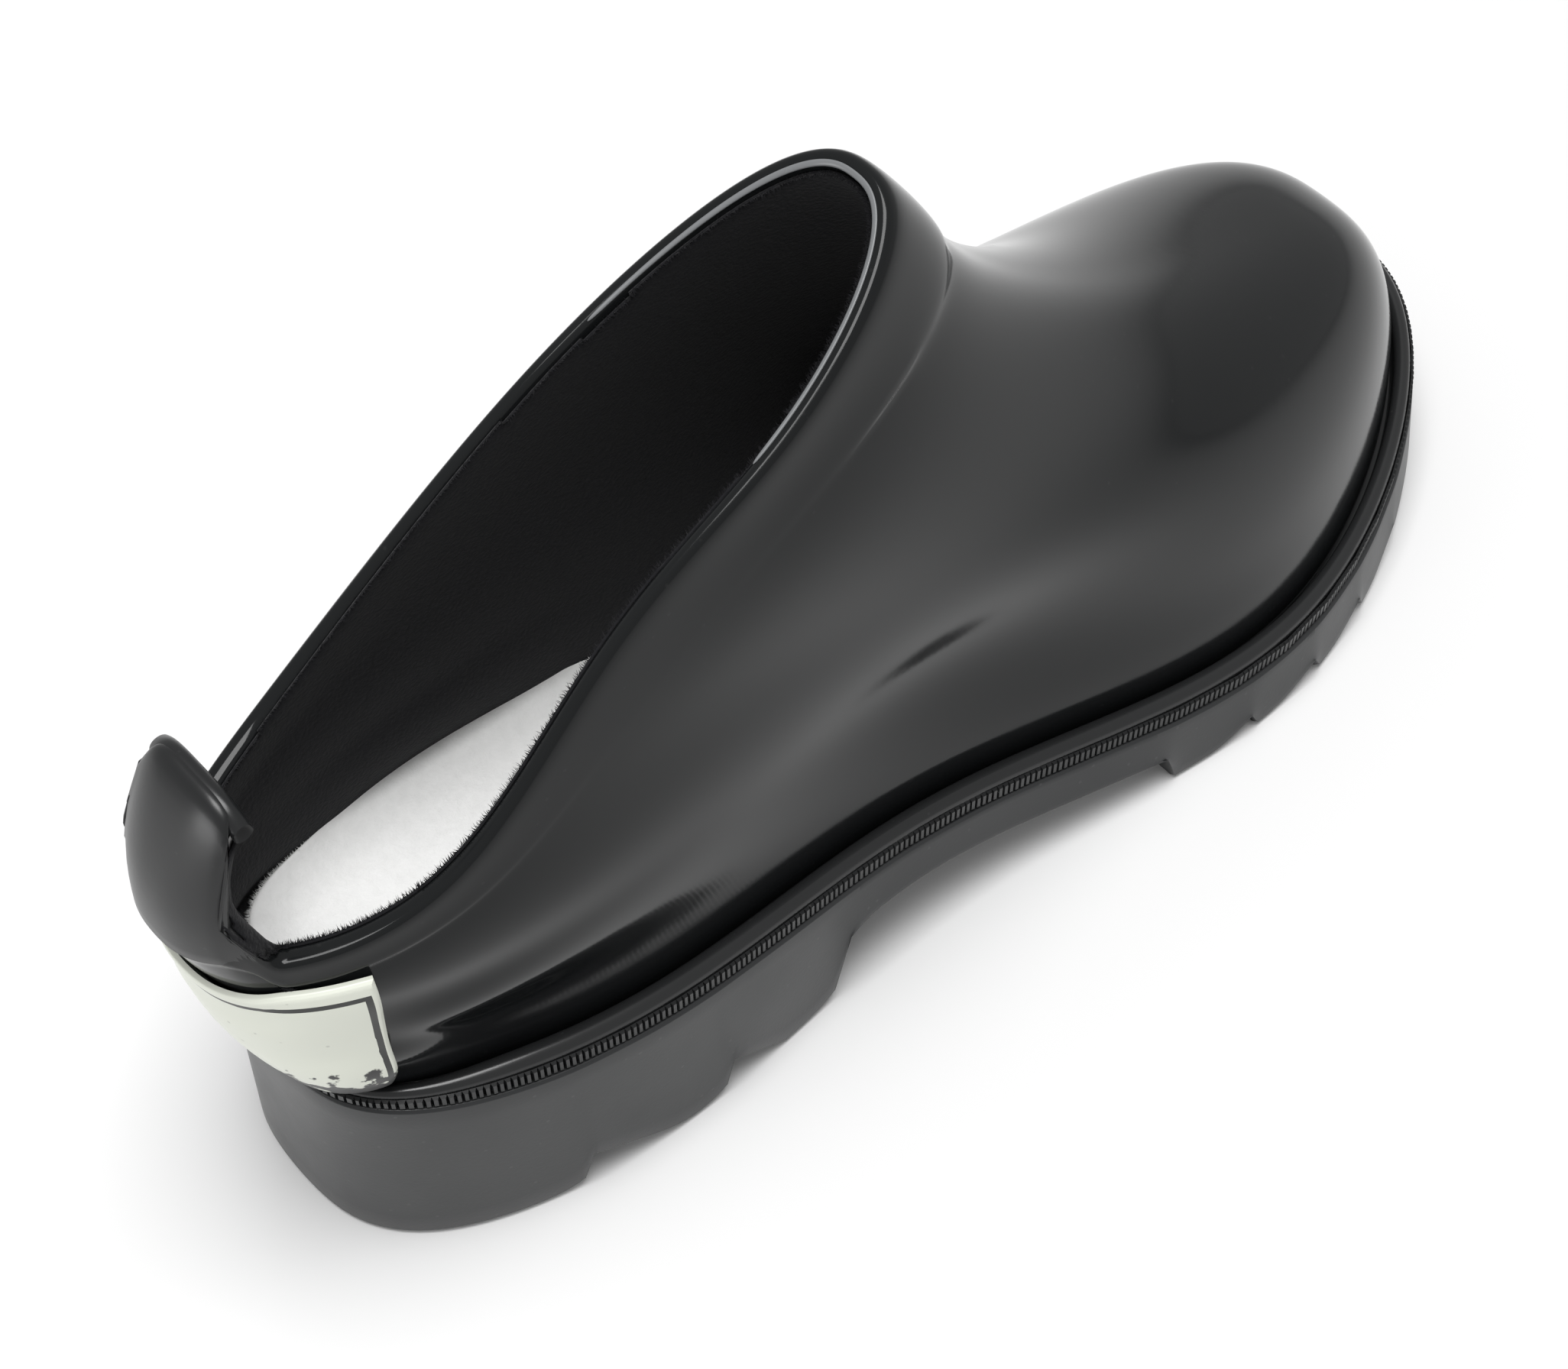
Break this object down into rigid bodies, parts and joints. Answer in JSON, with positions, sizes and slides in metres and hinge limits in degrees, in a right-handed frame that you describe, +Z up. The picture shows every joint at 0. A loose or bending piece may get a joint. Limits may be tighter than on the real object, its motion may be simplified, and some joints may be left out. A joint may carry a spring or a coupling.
{
  "type": "rubber garden boot",
  "caption": "Low slip-on rubber garden boot for the right foot: hollow moulded upper with a pull tab at the heel, beaded welt, lugged sole, felt insole and a blank heel patch.",
  "frame": {"origin": "on the floor under the middle of the boot's bounding box", "axes": "+X from heel to toe, +Y to the boot's left (the inner side of a right foot), +Z up"},
  "size_m": [0.2782, 0.0938, 0.1494],
  "materials": {
    "outsole": "satin moulded rubber",
    "welt": "glossy bead over a knurled foot",
    "upper": "glossy lacquered rubber",
    "insole": "white felt",
    "heel_patch": "smooth off-white rubber"
  },
  "bodies": {
    "root": {"outsole": "outsole", "welt": "welt", "upper": "upper", "insole": "insole", "heel_patch": "heel_patch"}
  },
  "joints": []
}
